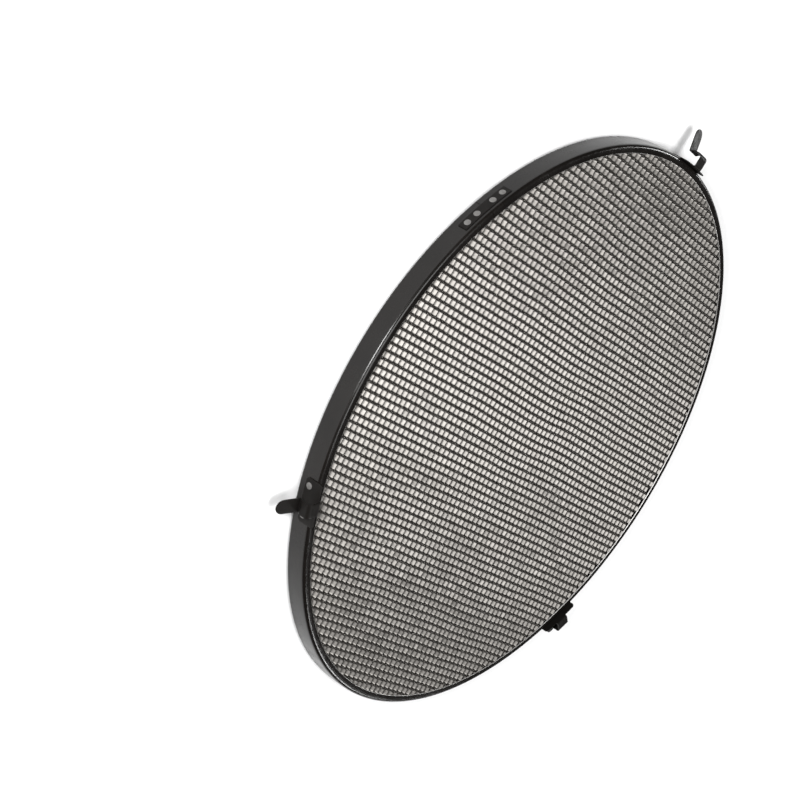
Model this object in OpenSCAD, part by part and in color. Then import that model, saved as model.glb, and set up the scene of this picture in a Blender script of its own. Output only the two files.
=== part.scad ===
/* [Hoop] */
// Outer radius of the hoop's wall, which slips inside a reflector's rim
hoop_r = 263; // [150:0.5:320]
// Width of the flat flanges that hold the honeycomb, front and back
flange_w = 7.2; // [5:0.1:14]
// Depth of the hoop along its axis
hoop_d = 20; // [14:0.5:40]
// Thickness of the strip that the hoop is rolled from
strip_t = 1; // [0.8:0.1:1.6]
// Outside radius of the hoop's rounded shoulders
shoulder_r = 3; // [2:0.1:5]
// Width of the butt seam where the rolled strip closes
seam_gap = 0.4; // [0.2:0.1:1]
// Direction of the seam, counted from +X
seam_at = 240; // [200:1:280]

/* [Honeycomb core] */
// Distance across the flats of one real cell
cell_w = 7.7; // [6:0.1:10]
// How many real cells one modelled cell spans, to keep the solids light
cell_group = 3; // [2:1:4]
// Modelled foil thickness, which gives the core its real mass
foil_t = 0.18; // [0.1:0.01:0.4]
// Glue line between two foils
glue_t = 0.02; // [0.01:0.01:0.05]
// Clearance between the core and the hoop, all round
core_gap = 0.2; // [0.1:0.05:0.5]
// Clearance between the core's rim and the hoop's wall, which holds the rivet tails
core_rim_gap = 2; // [1:0.1:3]
// Turn of the cell rows about the axis
core_turn = 1; // [-5:0.5:5]

/* [Spring clips] */
// Thickness of the spring steel
clip_t = 0.8; // [0.5:0.1:1.2]
// Width of the T-shaped foot, along the hoop
foot_w = 39; // [30:1:60]
// Height of the foot's lower edge above the mid plane
foot_bottom = -2.5; // [-3:0.1:0]
// Height of the foot's upper edge above the front flange
foot_rise = 4.3; // [3:0.1:8]
// Width of the tongue, hook and thumb tab
tongue_w = 12.5; // [8:0.5:20]
// Outermost radius of the hook
hook_r = 275.5; // [160:0.5:330]
// Drop from the top of the tongue to the hook's nose
hook_drop = 12; // [9:0.5:16]
// How far the hook's nose turns in under the rim
nose_in = 2.5; // [1:0.1:4]
// Length of the thumb tab from the nose to its tip
tab_l = 22; // [14:1:30]
// Slope of the thumb tab towards the back
tab_slope = 13; // [0:1:40]
// Direction of the first clip, counted from +X
first_clip = 60; // [0:5:90]

/* [Rivets] */
// Radius of a rivet's shank
shank_r = 1.5; // [1:0.1:2]
// Radius of a rivet's head
head_r = 2.8; // [2:0.1:4]
// Height of a rivet's domed head
head_h = 0.4; // [0.3:0.1:1.5]
// Distance between the two rivets of a clip
rivet_pitch = 26; // [18:1:32]
// Height of the clip rivets above the mid plane
rivet_z = 1.6; // [1:0.1:3]
// Length of the splice plate along the hoop
splice_w = 52; // [40:1:70]
// Height of the splice plate
splice_h = 8.5; // [6:0.5:9]

/* [Hidden] */
CLIPS = 3;
BANKS = 15;
FINE = 96;
SMALL = 32;
BANDS = 6;
EPS = 0.02;
// How far a cutting shape runs past what it cuts.
OVER = 1;

half_d = hoop_d / 2;
wall_in = hoop_r - strip_t;
eye_r = hoop_r - flange_w;
clip_in = hoop_r + EPS;
clip_out = clip_in + clip_t;
foot_top = half_d + foot_rise;
clip_mid_r = (clip_in + clip_out) / 2;

core_r = wall_in - core_rim_gap;
core_h = hoop_d - 2 * (strip_t + core_gap);
foil_pitch = cell_w * cell_group / 2;
side = foil_pitch / cos(30);
period = 3 * side;
swing = foil_pitch - foil_t - glue_t;
mitre = foil_t / 2 * tan(30);
periods = ceil(core_r / period) + 1;
foils = floor(2 * core_r / foil_pitch);
bank = foils / BANKS;

// Space that the flexing strip has above the foot, and the radii of its two bends.
flex_gap = 0.45;
bend_r = 1.2;
outer_bend_r = 3;
tongue_top = foot_top + flex_gap + bend_r;
hook_mid_r = hook_r - clip_t / 2;
nose = [hook_mid_r - nose_in, tongue_top - hook_drop];
nose_rise = 1.4;
turn_z = nose[1] + nose_rise * nose_in;
tab_end = nose + tab_l * [cos(tab_slope), -sin(tab_slope)];

// Clearance of a shank in its hole, how far its crimped tail spreads, and how deep the shank runs into its head.
hole_gap = 0.05;
tail_lip = 0.8;
head_root = 0.2;
splice_rivets_at = [-20, -9, 9, 20];

// Angle at the axis that an arc length spans on the hoop's wall.
function arc_angle(length) = length / hoop_r * 180 / PI;

// The points of one face of a corrugated foil; face is 1 for its upper face, -1 for its lower.
function foil_face(face) = [
    for (i = [-periods : periods]) each [
        [i * period - side / 2 + face * mitre, face * foil_t / 2],
        [i * period + side / 2 - face * mitre, face * foil_t / 2],
        [i * period + side - face * mitre, swing + face * foil_t / 2],
        [i * period + 2 * side + face * mitre, swing + face * foil_t / 2]
    ]
];
function backwards(points) = [for (i = [len(points) - 1 : -1 : 0]) points[i]];

// Points of a quarter round from one direction to the next, as flat bands.
function quarter(centre, radius, from) = [
    for (b = [0 : BANDS]) centre + radius * [cos(from + b * 90 / BANDS), sin(from + b * 90 / BANDS)]
];

// A block with round corners on its outer side only, seen in the radius and height plane.
module shouldered(inner, outer, half_height, corner) {
    centre = [outer - corner, half_height - corner];
    polygon(concat(
        [[inner, -half_height]],
        quarter([centre[0], -centre[1]], corner, -90),
        quarter(centre, corner, 0),
        [[inner, half_height]]
    ));
}

// Places children at a direction round the axis.
module around(angle) {
    rotate([0, 0, angle]) children();
}

// A strip bent round the hoop's wall.
module bent_strip(length, bottom, top) {
    span = arc_angle(length);
    rotate([0, 0, -span / 2]) rotate_extrude(angle = span, $fn = FINE * 4)
        translate([clip_in, bottom]) square([clip_t, top - bottom]);
}

// A radial hole through the hoop's wall and the plate on it.
module rivet_hole(angle, z) {
    around(angle) translate([wall_in - OVER, 0, z]) rotate([0, 90, 0])
        cylinder(r = shank_r + hole_gap, h = strip_t + clip_t + 3 * OVER, $fn = SMALL);
}

// One rivet: domed head outside, flat tail inside, shank through both strips.
module rivet(angle, z) {
    tail = wall_in - EPS - head_h;
    under_head = clip_out + 2 * EPS;
    dome = (head_r * head_r + head_h * head_h) / (2 * head_h);
    around(angle) translate([0, 0, z]) rotate([0, 90, 0]) {
        translate([0, 0, tail]) cylinder(r = shank_r + tail_lip, h = head_h, $fn = SMALL);
        translate([0, 0, tail]) cylinder(r = shank_r, h = under_head - tail + head_root, $fn = SMALL);
        translate([0, 0, under_head]) intersection() {
            translate([0, 0, head_h - dome]) sphere(dome, $fn = FINE);
            cylinder(r = head_r, h = head_h, $fn = SMALL);
        }
    }
}

function clip_angle(c) = first_clip + (c - 1) * 360 / CLIPS;
function clip_rivet_angles(c) = [for (s = [-1, 1]) clip_angle(c) + s * arc_angle(rivet_pitch / 2)];
splice_rivet_angles = [for (s = splice_rivets_at) seam_at + arc_angle(s)];

// Rolled channel that wraps the honeycomb: wall, rounded shoulders, front and back flange.
module hoop() {
    color([0.035, 0.03, 0.028]) difference() {
        rotate_extrude($fn = FINE * 4) difference() {
            shouldered(eye_r, hoop_r, half_d, shoulder_r);
            shouldered(eye_r - OVER, wall_in, half_d - strip_t, shoulder_r - strip_t);
        }
        around(seam_at) translate([eye_r - OVER, -seam_gap / 2, -half_d - OVER])
            cube([flange_w + 2 * OVER, seam_gap, hoop_d + 2 * OVER]);
        for (c = [1 : CLIPS]) for (a = clip_rivet_angles(c)) rivet_hole(a, rivet_z);
        for (a = splice_rivet_angles) rivet_hole(a, rivet_z);
    }
}

// Plate riveted over the hoop's seam.
module splice_plate() {
    color([0.05, 0.045, 0.04]) difference() {
        around(seam_at) bent_strip(splice_w, rivet_z - splice_h / 2, rivet_z + splice_h / 2);
        for (a = splice_rivet_angles) rivet_hole(a, rivet_z);
    }
}

module splice_rivets() {
    color([0.35, 0.34, 0.33]) for (a = splice_rivet_angles) rivet(a, rivet_z);
}

// Fixed foot of a clip, riveted to the wall. Its top edge stands above the front flange.
module clip_foot(c) {
    color([0.03, 0.03, 0.03]) difference() {
        around(clip_angle(c)) bent_strip(foot_w, foot_bottom, foot_top);
        for (a = clip_rivet_angles(c)) rivet_hole(a, rivet_z);
    }
}

module clip_rivets(c) {
    color([0.35, 0.34, 0.33]) for (a = clip_rivet_angles(c)) rivet(a, rivet_z);
}

// A flat strip of the clip's thickness between two points of the radius and height plane.
module strip_between(a, b) {
    run = b - a;
    translate(a) rotate(atan2(run[1], run[0])) translate([0, -clip_t / 2]) square([norm(run), clip_t]);
    translate(b) circle(clip_t / 2, $fn = SMALL);
}

// A quarter bend of the strip; turn is the quadrant's first angle.
module quarter_bend(centre, radius, turn) {
    translate(centre) rotate(turn) intersection() {
        difference() {
            circle(radius + clip_t / 2, $fn = FINE);
            circle(radius - clip_t / 2, $fn = FINE);
        }
        square(2 * radius);
    }
}

// Side view of the moving strip: up from the flex line, over the rim, down, in to the nose, out again.
module hook_profile() {
    top_from = [clip_mid_r + bend_r, tongue_top];
    top_to = [hook_mid_r - outer_bend_r, tongue_top];
    quarter_bend(top_from - [0, bend_r], bend_r, 90);
    strip_between(top_from, top_to);
    quarter_bend(top_to - [0, outer_bend_r], outer_bend_r, 0);
    strip_between([hook_mid_r, tongue_top - outer_bend_r], [hook_mid_r, turn_z]);
    strip_between([hook_mid_r, turn_z], nose);
    strip_between(nose, tab_end);
}

// Outline of the tongue and tab seen along the hoop's axis: straight sides and a round end.
module tongue_plan() {
    round_at = tab_end[0] - tongue_w / 2;
    translate([clip_in - OVER, -tongue_w / 2]) square([round_at - clip_in + OVER, tongue_w]);
    translate([round_at, 0]) circle(tongue_w / 2, $fn = FINE);
}

// Moving part of a clip: tongue over the rim, hook behind it and thumb tab.
module clip_hook(c) {
    color([0.03, 0.03, 0.03]) around(clip_angle(c)) intersection() {
        rotate([90, 0, 0]) linear_extrude(tongue_w + 2 * OVER, center = true) hook_profile();
        linear_extrude(4 * hoop_d, center = true) tongue_plan();
    }
}

// One corrugated foil of the core, cut to the core's circle.
module foil(k) {
    shift = (k % 2) * period / 2;
    lift = (k - foils / 2) * foil_pitch + (foil_t + glue_t) / 2;
    translate([0, 0, -core_h / 2]) rotate([0, 0, core_turn]) linear_extrude(core_h) intersection() {
        circle(core_r, $fn = FINE * 4);
        translate([shift, lift]) polygon(concat(foil_face(1), backwards(foil_face(-1))));
    }
}

// A bank of neighbouring foils, each its own solid, bonded face to face along the cells' flats.
module foil_bank(b) {
    color([0.72, 0.71, 0.69]) for (k = [(b - 1) * bank : b * bank - 1]) foil(k);
}

hoop();
splice_plate();
splice_rivets();
for (c = [1 : CLIPS]) {
    clip_foot(c);
    clip_rivets(c);
    clip_hook(c);
}
for (b = [1 : BANKS]) {
    foil_bank(b);
}
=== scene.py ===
import math

import bmesh
import bpy
import numpy as np
from mathutils import Matrix, Vector


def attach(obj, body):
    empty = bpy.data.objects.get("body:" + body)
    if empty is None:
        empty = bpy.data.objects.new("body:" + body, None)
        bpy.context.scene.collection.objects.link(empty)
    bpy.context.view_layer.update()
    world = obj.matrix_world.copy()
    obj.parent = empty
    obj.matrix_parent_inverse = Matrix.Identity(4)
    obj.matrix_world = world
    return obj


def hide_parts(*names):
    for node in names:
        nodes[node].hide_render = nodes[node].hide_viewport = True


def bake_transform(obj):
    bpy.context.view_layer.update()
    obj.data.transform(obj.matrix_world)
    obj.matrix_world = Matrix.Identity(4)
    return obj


MM = 0.001

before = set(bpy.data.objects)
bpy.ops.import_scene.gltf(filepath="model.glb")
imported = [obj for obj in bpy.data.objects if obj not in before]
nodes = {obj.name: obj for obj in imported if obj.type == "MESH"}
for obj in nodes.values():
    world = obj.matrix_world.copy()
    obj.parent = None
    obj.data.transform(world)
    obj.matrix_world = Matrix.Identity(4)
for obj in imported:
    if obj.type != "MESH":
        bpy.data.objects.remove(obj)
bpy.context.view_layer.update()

# Sizes that repeat part.scad's, in millimetres.
HOOP_R = 263.0
EYE_R = 255.8
HALF_D = 10.0
STRIP_T = 1.0
SHOULDER_R = 3.0
SEAM_GAP = 0.4
SEAM_AT = 240.0
CORE_R = 260.0
CORE_HALF = 8.8
CELL_W = 7.7
CORE_TURN = 1.0
BANKS = 15
FOILS_PER_BANK = 9
FOIL_T = 0.06
GLUE_T = 0.02
CLIP_T = 0.8
CLIP_MID_R = 263.42
FOOT_W = 39.0
FOOT_BOTTOM = -2.5
FOOT_TOP = 14.3
TONGUE_W = 12.5
TONGUE_TOP = 15.95
HOOK_MID_R = 275.1
NOSE_R = 272.6
NOSE_Z = 3.95
TURN_Z = 7.45
CLIP_ANGLES = (60.0, 180.0, 300.0)

# The tab ends 0.14 mm short of part.scad's, so that its thickness stays inside the CAD's box.
TAB_END_R = 293.9
TAB_END_Z = -0.96
TAB_ROUND_R = TAB_END_R - TONGUE_W / 2

# ---------------------------------------------------------------- camera
CAMERA_AT = (-0.01335, -1.80581, 1.01721)
CAMERA_RIGHT = (-0.52107, 0.46347, 0.71672)
CAMERA_UP = (-0.85323, -0.26103, -0.45151)
CAMERA_BACK = (-0.02217, -0.84679, 0.53146)
CAMERA_LENS = 110.25
CAMERA_SENSOR = 36.0
CAMERA_FAR = 50.0


def make_camera():
    data = bpy.data.cameras.new("camera")
    data.lens = CAMERA_LENS
    data.sensor_width = CAMERA_SENSOR
    data.clip_end = CAMERA_FAR
    camera = bpy.data.objects.new("camera", data)
    bpy.context.scene.collection.objects.link(camera)
    columns = [Vector(v).normalized() for v in (CAMERA_RIGHT, CAMERA_UP, CAMERA_BACK)]
    turn = Matrix(columns).transposed().to_4x4()
    camera.matrix_world = Matrix.Translation(CAMERA_AT) @ turn
    bpy.context.scene.camera = camera


# ---------------------------------------------------------------- materials
FOIL_DARK = (0.30, 0.286, 0.268)
FOIL_LIGHT = (0.36, 0.344, 0.324)
PAINT_DARK = (0.0032, 0.0027, 0.0024)
PAINT_LIGHT = (0.0075, 0.0062, 0.0054)
BARE_METAL = (0.86, 0.85, 0.83)
STEEL_DARK = (0.0035, 0.0031, 0.0028)
STEEL_LIGHT = (0.009, 0.008, 0.0072)
ZINC_DARK = (0.15, 0.146, 0.142)
ZINC_LIGHT = (0.25, 0.243, 0.236)

# Nearly all values of a noise texture lie between these two.
NOISE_LOW = 0.3
NOISE_HIGH = 0.7

# Radii in metres between which the flange turns from the bare metal of its cut edge to paint.
BARE_TO_R = 0.25592
PAINT_FROM_R = 0.25602

# The lines that rolling leaves lie level on the foil. This axis is a little off the vertical one,
# so that the cross product has a direction on the foil's level edges too.
ROLLING_AXIS = (0.02, 0.01, 1.0)


def new_material(name):
    material = bpy.data.materials.new(name)
    material.use_nodes = True
    tree = material.node_tree
    shader = next(n for n in tree.nodes if n.type == "BSDF_PRINCIPLED")
    return material, tree, shader


def noise_node(tree, scale, detail, stretch=(1.0, 1.0, 1.0)):
    place = tree.nodes.new("ShaderNodeTexCoord")
    mapping = tree.nodes.new("ShaderNodeMapping")
    mapping.inputs["Scale"].default_value = stretch
    noise = tree.nodes.new("ShaderNodeTexNoise")
    noise.inputs["Scale"].default_value = scale
    noise.inputs["Detail"].default_value = detail
    tree.links.new(place.outputs["Object"], mapping.inputs["Vector"])
    tree.links.new(mapping.outputs["Vector"], noise.inputs["Vector"])
    return noise.outputs["Fac"]


def ramp(tree, factor, low_at, low, high_at, high):
    """A value that goes from low to high while factor goes from low_at to high_at."""
    node = tree.nodes.new("ShaderNodeMapRange")
    node.inputs["From Min"].default_value = low_at
    node.inputs["From Max"].default_value = high_at
    node.inputs["To Min"].default_value = low
    node.inputs["To Max"].default_value = high
    tree.links.new(factor, node.inputs["Value"])
    return node.outputs["Result"]


def mix_colour(tree, factor, a, b):
    """Colour a where factor is 0 and b where it is 1. Each is a constant or a node's output."""
    node = tree.nodes.new("ShaderNodeMix")
    node.data_type = "RGBA"
    for socket, value in ((node.inputs[6], a), (node.inputs[7], b)):
        if isinstance(value, tuple):
            socket.default_value = (*value, 1.0)
        else:
            tree.links.new(value, socket)
    tree.links.new(factor, node.inputs[0])
    return node.outputs[2]


def bump(tree, shader, height, strength, distance):
    node = tree.nodes.new("ShaderNodeBump")
    node.inputs["Strength"].default_value = strength
    node.inputs["Distance"].default_value = distance
    tree.links.new(height, node.inputs["Height"])
    tree.links.new(node.outputs["Normal"], shader.inputs["Normal"])


def foil_material():
    """Rolled aluminium foil, a little uneven in colour and gloss."""
    material, tree, shader = new_material("foil")
    stains = noise_node(tree, scale=140.0, detail=2.0)
    broad = noise_node(tree, scale=22.0, detail=1.0)
    shade = ramp(tree, stains, NOISE_LOW, 0.0, NOISE_HIGH, 1.0)
    colour = mix_colour(tree, shade, FOIL_DARK, FOIL_LIGHT)
    tree.links.new(colour, shader.inputs["Base Color"])
    rough = ramp(tree, broad, NOISE_LOW, 0.50, NOISE_HIGH, 0.54)
    tree.links.new(rough, shader.inputs["Roughness"])
    shader.inputs["Metallic"].default_value = 1.0
    # Rolling lines run along the foil, so its gloss spreads up and down the cell walls.
    surface = tree.nodes.new("ShaderNodeNewGeometry")
    along = tree.nodes.new("ShaderNodeVectorMath")
    along.operation = "CROSS_PRODUCT"
    tree.links.new(surface.outputs["Normal"], along.inputs[0])
    along.inputs[1].default_value = ROLLING_AXIS
    tree.links.new(along.outputs["Vector"], shader.inputs["Tangent"])
    shader.inputs["Anisotropic"].default_value = 0.85
    shader.inputs["Anisotropic Rotation"].default_value = 0.25
    return material


def distance_from_axis(tree):
    """A surface point's distance from the grid's axis, in metres."""
    place = tree.nodes.new("ShaderNodeTexCoord")
    split = tree.nodes.new("ShaderNodeSeparateXYZ")
    tree.links.new(place.outputs["Object"], split.inputs["Vector"])
    flat = tree.nodes.new("ShaderNodeCombineXYZ")
    tree.links.new(split.outputs["X"], flat.inputs["X"])
    tree.links.new(split.outputs["Y"], flat.inputs["Y"])
    radius = tree.nodes.new("ShaderNodeVectorMath")
    radius.operation = "LENGTH"
    tree.links.new(flat.outputs["Vector"], radius.inputs[0])
    return radius.outputs["Value"]


def hoop_material():
    """Gloss black enamel with a slight orange peel, and bare metal on the cut edges of the flanges."""
    material, tree, shader = new_material("hoop_paint")
    bare = ramp(tree, distance_from_axis(tree), BARE_TO_R, 1.0, PAINT_FROM_R, 0.0)
    paint = mix_colour(tree, noise_node(tree, scale=35.0, detail=3.0), PAINT_DARK, PAINT_LIGHT)
    colour = mix_colour(tree, bare, paint, BARE_METAL)
    tree.links.new(colour, shader.inputs["Base Color"])
    tree.links.new(bare, shader.inputs["Metallic"])
    shader.inputs["Specular IOR Level"].default_value = 0.30
    handled = noise_node(tree, scale=60.0, detail=3.0)
    rough = tree.nodes.new("ShaderNodeMath")
    rough.operation = "MAXIMUM"
    tree.links.new(ramp(tree, handled, NOISE_LOW, 0.20, NOISE_HIGH, 0.30), rough.inputs[0])
    tree.links.new(ramp(tree, bare, 0.0, 0.0, 1.0, 0.55), rough.inputs[1])
    tree.links.new(rough.outputs["Value"], shader.inputs["Roughness"])
    peel = noise_node(tree, scale=45.0, detail=2.0, stretch=(1.0, 1.0, 3.0))
    bump(tree, shader, peel, strength=0.25, distance=0.0004)
    return material


def clip_material():
    """Satin black oxidised spring steel."""
    material, tree, shader = new_material("clip_steel")
    colour = mix_colour(tree, noise_node(tree, scale=90.0, detail=3.0), STEEL_DARK, STEEL_LIGHT)
    tree.links.new(colour, shader.inputs["Base Color"])
    shader.inputs["Specular IOR Level"].default_value = 0.09
    grain = noise_node(tree, scale=260.0, detail=3.0)
    rough = ramp(tree, grain, NOISE_LOW, 0.34, NOISE_HIGH, 0.48)
    tree.links.new(rough, shader.inputs["Roughness"])
    return material


def rivet_material():
    """Dull zinc plate."""
    material, tree, shader = new_material("rivet_steel")
    colour = mix_colour(tree, noise_node(tree, scale=500.0, detail=3.0), ZINC_DARK, ZINC_LIGHT)
    tree.links.new(colour, shader.inputs["Base Color"])
    shader.inputs["Metallic"].default_value = 1.0
    shader.inputs["Roughness"].default_value = 0.48
    return material


# ---------------------------------------------------------------- mesh helpers
def add_object(name, mesh, material):
    mesh.materials.append(material)
    obj = bpy.data.objects.new(name, mesh)
    bpy.context.scene.collection.objects.link(obj)
    return obj


def mesh_from(name, points, faces):
    mesh = bpy.data.meshes.new(name)
    mesh.from_pydata([tuple(p) for p in points], [], faces)
    mesh.update()
    return mesh


def smooth_below(mesh, degrees):
    mesh.shade_smooth()
    mesh.set_sharp_from_angle(angle=math.radians(degrees))


# ---------------------------------------------------------------- honeycomb
PITCH = CELL_W / 2
SIDE = PITCH / math.cos(math.radians(30))
PERIOD = 3 * SIDE
SWING = PITCH - FOIL_T - GLUE_T
# Length of a cell's flat. From each corner, the bend goes BEND each way and eases out over EASE.
FLAT = 5.7
BEND = 0.35
EASE = 0.9
# The foils end just inside the core's circle.
END_R = CORE_R - 0.35

# A core that was pulled open by hand: how far each wave moves a point, and the wave's length.
PULLS = ((0.9, 85.0), (0.25, 30.0), (0.16, 6.0))
# Which sheets of random numbers the three waves use, along x and along y.
PULL_SHEETS = ((0, 1, 2), (2, 3, 0))
# The waves fade out over this distance from the rim, and end this far inside it.
PULL_FADE = 50.0
PULL_STOP = 2
# The foils' edges wander a little up and down: their mean gap to the core's face, and the wave.
EDGE_GAP = 0.12
EDGE_WAVE = 0.1
EDGE_STEP = 7.0
EDGE_SHEETS = (1, 3)

SHEET_SIZE = 256
SHEETS = np.random.default_rng(11).uniform(-1.0, 1.0, (4, SHEET_SIZE, SHEET_SIZE))


def sheet_noise(sheet, x, y, step):
    """Smooth noise from -1 to 1 on a square lattice, whose points are step apart."""
    u, v = x / step + SHEET_SIZE / 2, y / step + SHEET_SIZE / 2
    i, j = np.floor(u).astype(int), np.floor(v).astype(int)
    a, b = u - i, v - j
    a, b = a * a * (3 - 2 * a), b * b * (3 - 2 * b)
    g = SHEETS[sheet]
    i, j = i % (SHEET_SIZE - 1), j % (SHEET_SIZE - 1)
    low = g[i, j] * (1 - a) + g[i + 1, j] * a
    high = g[i, j + 1] * (1 - a) + g[i + 1, j + 1] * a
    return low * (1 - b) + high * b


def pulled(x, y):
    """Where points of the ideal cell pattern end up, because the core was pulled open by hand."""
    fade = np.clip((CORE_R - PULL_STOP - np.hypot(x, y)) / PULL_FADE, 0.0, 1.0)
    move_x, move_y = (
        sum(reach * sheet_noise(n, x, y, step) for n, (reach, step) in zip(sheets, PULLS))
        for sheets in PULL_SHEETS
    )
    return x + fade * move_x, y + fade * move_y


def corrugation(k):
    """Ideal centre line of foil k: flats at two levels joined by sloping walls, with eased bends."""
    shift = (k % 2) * PERIOD / 2
    lift = (k - BANKS * FOILS_PER_BANK / 2) * PITCH + (FOIL_T + GLUE_T) / 2
    count = math.ceil(CORE_R / PERIOD) + 1
    corners = []
    for i in range(-count, count + 1):
        x = i * PERIOD + shift
        corners += [
            (x - FLAT / 2, lift),
            (x + FLAT / 2, lift),
            (x + PERIOD / 2 - FLAT / 2, lift + SWING),
            (x + PERIOD / 2 + FLAT / 2, lift + SWING),
        ]
    corners = np.array(corners)
    ahead = np.diff(corners, axis=0)
    ahead /= np.linalg.norm(ahead, axis=1)[:, None]
    inner = corners[1:-1]
    before = [inner - reach * ahead[:-1] for reach in (BEND + EASE, BEND)]
    after = [inner + reach * ahead[1:] for reach in (BEND, BEND + EASE)]
    return np.stack(before + after, axis=1).reshape(-1, 2)


def inside_runs(path):
    """The stretches of a path that lie inside the core's circle, cut at the circle."""
    radius = np.hypot(path[:, 0], path[:, 1])
    inside = radius < END_R

    def cut(edge, beyond):
        share = (END_R - radius[edge]) / (radius[beyond] - radius[edge])
        return path[edge] + share * (path[beyond] - path[edge])

    changes = np.flatnonzero(np.diff(np.concatenate(([0], inside, [0]))))
    runs = []
    for start, end in changes.reshape(-1, 2):
        run = list(path[start:end])
        if start > 0:
            run.insert(0, cut(start, start - 1))
        if end < len(path):
            run.append(cut(end - 1, end))
        if len(run) > 3:
            runs.append(np.array(run))
    return runs


def foil_strip(path):
    """Points and faces of one thin closed strip standing on a path."""
    turn = math.radians(CORE_TURN)
    x, y = pulled(path[:, 0], path[:, 1])
    line = np.stack([x, y], axis=1)
    ahead = np.gradient(line, axis=0)
    ahead /= np.linalg.norm(ahead, axis=1)[:, None]
    aside = np.stack([-ahead[:, 1], ahead[:, 0]], axis=1) * FOIL_T / 2
    spin = np.array([[math.cos(turn), math.sin(turn)], [-math.sin(turn), math.cos(turn)]])
    left, right = (line + aside) @ spin, (line - aside) @ spin
    top = CORE_HALF - EDGE_GAP + EDGE_WAVE * sheet_noise(EDGE_SHEETS[0], x, y, EDGE_STEP)
    base = -CORE_HALF + EDGE_GAP + EDGE_WAVE * sheet_noise(EDGE_SHEETS[1], x, y, EDGE_STEP)
    n = len(path)
    points = np.empty((n, 4, 3))
    for corner, (side, height) in enumerate(
        ((left, top), (right, top), (right, base), (left, base))
    ):
        points[:, corner, :2] = side
        points[:, corner, 2] = height
    faces = []
    for i in range(n - 1):
        a, b = 4 * i, 4 * i + 4
        faces += [(a + (c + 1) % 4, b + (c + 1) % 4, b + c, a + c) for c in range(4)]
    last = 4 * (n - 1)
    faces += [(3, 2, 1, 0), (last, last + 1, last + 2, last + 3)]
    return points.reshape(-1, 3) * MM, faces


def make_core(material):
    for bank in range(BANKS):
        points, faces, offset = [], [], 0
        for k in range(bank * FOILS_PER_BANK, (bank + 1) * FOILS_PER_BANK):
            for run in inside_runs(corrugation(k)):
                strip, strip_faces = foil_strip(run)
                points.append(strip)
                faces += [tuple(v + offset for v in f) for f in strip_faces]
                offset += len(strip)
        mesh = mesh_from(f"foils_{bank + 1}", np.concatenate(points), faces)
        smooth_below(mesh, degrees=50)
        obj = add_object(f"foils_{bank + 1}", mesh, material)
        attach(obj, "hoop_body")
        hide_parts(f"foil_bank_{bank + 1}")


# ---------------------------------------------------------------- hoop
# Radius of the cut edges' corners, and how many steps each kind of arc and the whole turn take.
CUT_R = 0.2
CUT_STEPS = 3
OUTER_STEPS = 12
INNER_STEPS = 8
HOOP_STEPS = 480


def arc(centre, radius, start, end, steps):
    angles = np.radians(np.linspace(start, end, steps + 1))
    return [
        (centre[0] + radius * math.cos(a), centre[1] + radius * math.sin(a)) for a in angles
    ]


def hoop_profile():
    """Cross-section of the rolled channel as a closed loop of radius and height."""
    bend = HOOP_R - SHOULDER_R
    low = HALF_D - SHOULDER_R
    skin = SHOULDER_R - STRIP_T
    eye = EYE_R + CUT_R
    loop = arc((eye, HALF_D - CUT_R), CUT_R, 180, 90, CUT_STEPS)
    loop += arc((bend, low), SHOULDER_R, 90, 0, OUTER_STEPS)
    loop += arc((bend, -low), SHOULDER_R, 0, -90, OUTER_STEPS)
    loop += arc((eye, -HALF_D + CUT_R), CUT_R, 270, 180, CUT_STEPS)
    loop += arc((eye, -HALF_D + STRIP_T - CUT_R), CUT_R, 180, 90, CUT_STEPS)
    loop += arc((bend, -low), skin, -90, 0, INNER_STEPS)
    loop += arc((bend, low), skin, 0, 90, INNER_STEPS)
    loop += arc((eye, HALF_D - STRIP_T + CUT_R), CUT_R, 270, 180, CUT_STEPS)
    return loop


def make_hoop(material):
    loop = hoop_profile()
    half_gap = math.degrees(SEAM_GAP / 2 / HOOP_R)
    start, end = SEAM_AT + half_gap, SEAM_AT + 360 - half_gap
    angles = np.radians(np.linspace(start, end, HOOP_STEPS + 1))
    points = [
        (r * math.cos(a) * MM, r * math.sin(a) * MM, z * MM) for a in angles for r, z in loop
    ]
    n = len(loop)
    faces = [
        (i * n + (j + 1) % n, (i + 1) * n + (j + 1) % n, (i + 1) * n + j, i * n + j)
        for i in range(HOOP_STEPS)
        for j in range(n)
    ]
    faces.append(tuple(reversed(range(n))))
    faces.append(tuple(HOOP_STEPS * n + j for j in range(n)))
    mesh = mesh_from("rolled_hoop", points, faces)
    smooth_below(mesh, degrees=40)
    obj = add_object("rolled_hoop", mesh, material)
    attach(obj, "hoop_body")
    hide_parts("hoop")


# ---------------------------------------------------------------- clips
# Radii of the four bends in the stamping's middle plane, from the foot to the tab.
CLIP_BENDS = (1.2, 3.0, 2.0, 0.9)
CLIP_BEND_STEPS = 8
# The longest step between two rows of the tongue, hook and tab.
CLIP_STEP = 1.6
# Radius of the foot's corners, the angles of the rows there, and the heights of those between.
FOOT_CORNER = 2.5
FOOT_CORNER_AT = (0, 30, 60, 90)
FOOT_MIDDLE_ROWS = (2.0, 5.0, 8.0)
# The angles of the rows at the tab's round end.
TAB_ROUND_AT = (15, 30, 45, 60, 75, 84)
TONGUE_COLUMNS = 12
WING_COLUMNS = 6
# Width of the bevel on the stamping's edges.
CLIP_BEVEL = 0.16


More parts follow.
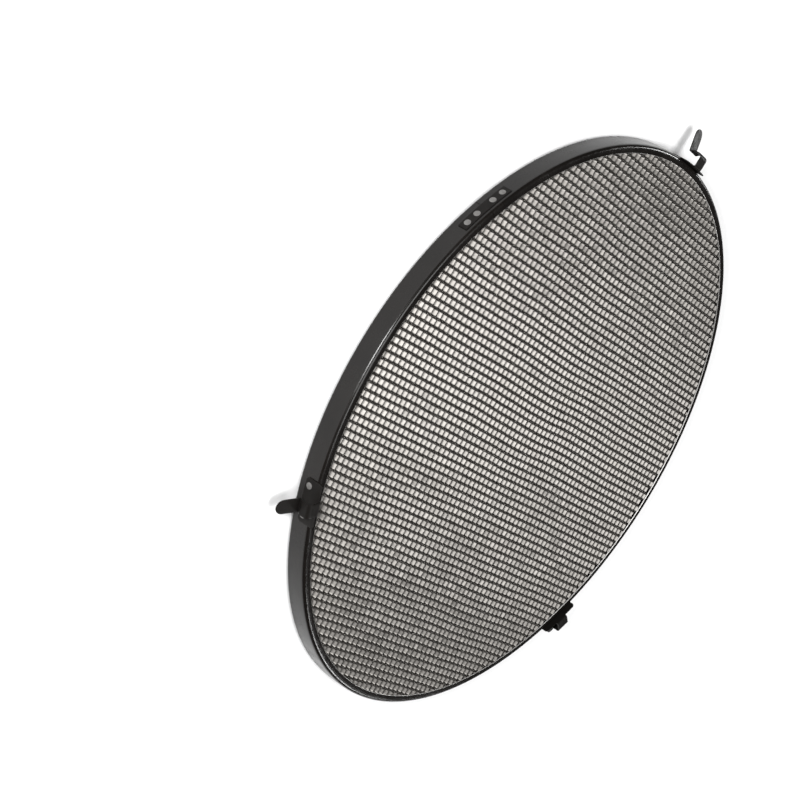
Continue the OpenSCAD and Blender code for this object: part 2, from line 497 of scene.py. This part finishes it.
def eased(corners, radii, steps):
    """A polyline with its inner corners turned into arcs of the given radii."""
    corners = [Vector(c) for c in corners]
    out = [corners[0]]
    for i, radius in enumerate(radii, start=1):
        here = corners[i]
        back = (corners[i - 1] - here).normalized()
        ahead = (corners[i + 1] - here).normalized()
        half = back.angle(ahead) / 2
        centre = here + (back + ahead).normalized() * radius / math.sin(half)
        reach = radius / math.tan(half)
        first, last = here + back * reach, here + ahead * reach
        a0 = math.atan2(first.y - centre.y, first.x - centre.x)
        a1 = math.atan2(last.y - centre.y, last.x - centre.x)
        sweep = (a1 - a0 + math.pi) % (2 * math.pi) - math.pi
        for s in range(steps + 1):
            a = a0 + sweep * s / steps
            out.append(centre + radius * Vector((math.cos(a), math.sin(a))))
    out.append(corners[-1])
    return out


def resample(line, spacing):
    """Adds points so that no step along the line is longer than spacing."""
    out = [line[0]]
    for a, b in zip(line, line[1:]):
        count = max(1, math.ceil((b - a).length / spacing))
        out += [a + (b - a) * (i / count) for i in range(1, count + 1)]
    return out


def tab_point(radius):
    """The point of the tab's middle plane at a radius."""
    share = (radius - NOSE_R) / (TAB_END_R - NOSE_R)
    return (radius, NOSE_Z + share * (TAB_END_Z - NOSE_Z))


def clip_side():
    """Side view of the middle plane, from the foot's upper edge to the start of the tab's round end."""
    corners = [
        (CLIP_MID_R, FOOT_TOP),
        (CLIP_MID_R, TONGUE_TOP),
        (HOOK_MID_R, TONGUE_TOP),
        (HOOK_MID_R, TURN_Z),
        (NOSE_R, NOSE_Z),
        tab_point(TAB_ROUND_R),
    ]
    return eased(corners, CLIP_BENDS, CLIP_BEND_STEPS)


def clip_rows():
    """Points of the whole side view from the foot's lower edge to the tab's tip, and the foot's count."""
    insets = [FOOT_CORNER * (1 - math.cos(math.radians(a))) for a in FOOT_CORNER_AT]
    heights = [FOOT_BOTTOM + inset for inset in insets] + list(FOOT_MIDDLE_ROWS)
    heights += [FOOT_TOP - inset for inset in reversed(insets)]
    foot = [Vector((CLIP_MID_R, z)) for z in heights]
    tongue = resample(clip_side(), CLIP_STEP)[1:]
    beyond = [TONGUE_W / 2 * math.sin(math.radians(a)) for a in TAB_ROUND_AT]
    tip = [Vector(tab_point(TAB_ROUND_R + reach)) for reach in beyond]
    return foot + tongue + tip, len(foot)


def row_normals(rows):
    """The middle plane's normal at each row, as a direction in radius and height."""
    normals = []
    for i in range(len(rows)):
        step = rows[min(i + 1, len(rows) - 1)] - rows[max(i - 1, 0)]
        step.normalize()
        normals.append(Vector((-step.y, step.x)))
    return normals


def tongue_half(radius):
    """Half the strip's width at a radius, which is less only at the tab's round end."""
    beyond = max(radius - TAB_ROUND_R, 0.0)
    return math.sqrt(TONGUE_W ** 2 / 4 - beyond ** 2)


def foot_half(height):
    """Half the foot's width at a height, which is less only at its rounded corners."""
    depth = FOOT_CORNER - min(abs(height - FOOT_BOTTOM), abs(height - FOOT_TOP))
    if depth <= 0:
        return FOOT_W / 2
    return FOOT_W / 2 - (FOOT_CORNER - math.sqrt(FOOT_CORNER ** 2 - depth ** 2))


def clip_shell():
    """Points, in millimetres, and faces of a T-shaped strip bent to its side view, for a clip at angle 0.
    Columns 0 to TONGUE_COLUMNS are the strip's, and those on either side are the foot's wings."""
    rows, foot_count = clip_rows()
    normals = row_normals(rows)
    points, faces, grid = [], [], {}

    def add_pair(i, column, along):
        row, normal = rows[i], normals[i]
        turn = along / row.x
        for side in (1, -1):
            r = row.x + side * normal.x * CLIP_T / 2
            z = row.y + side * normal.y * CLIP_T / 2
            points.append((r * math.cos(turn), r * math.sin(turn), z))
        grid[i, column] = (len(points) - 2, len(points) - 1)

    for i, row in enumerate(rows):
        for column, share in enumerate(np.linspace(-1.0, 1.0, TONGUE_COLUMNS + 1)):
            add_pair(i, column, share * tongue_half(row.x))
    for i in range(foot_count):
        wing = foot_half(rows[i].y) - TONGUE_W / 2
        for side, edge in ((-1, 0), (1, TONGUE_COLUMNS)):
            for n in range(1, WING_COLUMNS + 1):
                along = TONGUE_W / 2 + n / WING_COLUMNS * wing
                add_pair(i, edge + side * n, side * along)

    cells = [(i, j) for i in range(len(rows) - 1) for j in range(TONGUE_COLUMNS)]
    for i in range(foot_count - 1):
        for n in range(WING_COLUMNS):
            cells += [(i, TONGUE_COLUMNS + n), (i, -1 - n)]
    open_edges = {}
    for i, j in cells:
        corners = [grid[key] for key in ((i, j), (i, j + 1), (i + 1, j + 1), (i + 1, j))]
        outer, inner = zip(*corners)
        faces += [outer, tuple(reversed(inner))]
        for a in range(4):
            b = (a + 1) % 4
            if (outer[b], outer[a]) in open_edges:
                del open_edges[outer[b], outer[a]]
            else:
                open_edges[outer[a], outer[b]] = (inner[a], inner[b])
    faces += [(b, a, c, d) for (a, b), (c, d) in open_edges.items()]
    return points, faces


def clip_mesh(name, angle):
    """The clip as one bent stamping with slightly rounded edges, turned to its place."""
    points, faces = clip_shell()
    turn = Matrix.Rotation(math.radians(angle), 4, "Z")
    mesh = mesh_from(name, [turn @ (Vector(p) * MM) for p in points], faces)
    work = bmesh.new()
    work.from_mesh(mesh)
    bmesh.ops.remove_doubles(work, verts=work.verts, dist=1e-7)
    bmesh.ops.recalc_face_normals(work, faces=work.faces)
    rims = [e for e in work.edges if e.is_manifold and e.calc_face_angle(0) > math.radians(60)]
    bmesh.ops.bevel(
        work,
        geom=rims,
        offset=CLIP_BEVEL * MM,
        segments=2,
        profile=0.5,
        affect="EDGES",
        clamp_overlap=True,
    )
    work.to_mesh(mesh)
    work.free()
    smooth_below(mesh, degrees=38)
    return mesh


def make_clips(material):
    for number, angle in enumerate(CLIP_ANGLES, start=1):
        name = f"spring_clip_{number}"
        obj = add_object(name, clip_mesh(name, angle), material)
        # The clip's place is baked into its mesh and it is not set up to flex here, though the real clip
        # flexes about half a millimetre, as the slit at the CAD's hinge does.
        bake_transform(obj)
        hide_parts(f"clip_foot_{number}", f"clip_hook_{number}")


def paint_cad(material, *names):
    """Gives CAD nodes that stay as they are a better material."""
    for name in names:
        mesh = nodes[name].data
        mesh.materials.clear()
        mesh.materials.append(material)


# ---------------------------------------------------------------- stage and light
FLOOR_HALF = 9.0
FLOOR_COLOUR = (0.9, 0.9, 0.9, 1.0)
WHITE = (1.0, 1.0, 1.0, 1.0)
# How bright the world is as a light, and as the view above the horizon: as pale as the far floor.
WORLD_LIGHT = 0.03
WORLD_SEEN = 0.72


def make_floor():
    corners = [(-1, -1), (1, -1), (1, 1), (-1, 1)]
    points = [(x * FLOOR_HALF, y * FLOOR_HALF, 0) for x, y in corners]
    mesh = mesh_from("floor", points, [(0, 1, 2, 3)])
    material, _, shader = new_material("floor")
    shader.inputs["Base Color"].default_value = FLOOR_COLOUR
    shader.inputs["Roughness"].default_value = 0.85
    floor = add_object("floor", mesh, material)
    floor.location.z = -HALF_D * MM


def make_world():
    world = bpy.data.worlds.new("studio")
    world.use_nodes = True
    tree = world.node_tree
    background = tree.nodes["Background"]
    background.inputs["Color"].default_value = WHITE
    seen = tree.nodes.new("ShaderNodeLightPath").outputs["Is Camera Ray"]
    strength = ramp(tree, seen, 0.0, WORLD_LIGHT, 1.0, WORLD_SEEN)
    tree.links.new(strength, background.inputs["Strength"])
    bpy.context.scene.world = world
    bpy.context.scene.view_settings.view_transform = "Standard"


def add_lamp(name, data):
    lamp = bpy.data.objects.new(name, data)
    bpy.context.scene.collection.objects.link(lamp)
    return lamp


def area_light(name, direction, distance, size, power):
    """A soft light that faces the grid's middle from a direction, at a distance in metres."""
    data = bpy.data.lights.new(name, "AREA")
    data.shape = "RECTANGLE"
    data.size, data.size_y = size
    data.energy = power
    lamp = add_lamp(name, data)
    at = Vector(direction).normalized() * distance
    lamp.location = at
    lamp.rotation_euler = at.to_track_quat("Z", "Y").to_euler()


def overhead_sky(strength, degrees):
    """An even, very soft light from straight above, which keeps the floor pale all over."""
    data = bpy.data.lights.new("overhead_sky", "SUN")
    data.angle = math.radians(degrees)
    data.energy = strength
    add_lamp("overhead_sky", data)


def make_lights():
    area_light(
        "front_softbox", direction=(0.03, -0.92, 0.35), distance=1.5, size=(0.28, 0.32), power=28
    )
    overhead_sky(strength=2.5, degrees=40)
    area_light(
        "side_strip_a", direction=(-0.48, 0.80, 0.42), distance=2.6, size=(0.5, 0.3), power=14
    )
    area_light(
        "side_strip_b", direction=(0.39, 0.757, 0.52), distance=2.6, size=(0.5, 0.3), power=14
    )


make_camera()
foil = foil_material()
paint = hoop_material()
steel = clip_material()
zinc = rivet_material()
make_core(foil)
make_hoop(paint)
make_clips(steel)
paint_cad(steel, "splice_plate")
paint_cad(zinc, "splice_rivets", "clip_rivets_1", "clip_rivets_2", "clip_rivets_3")
make_floor()
make_world()
make_lights()
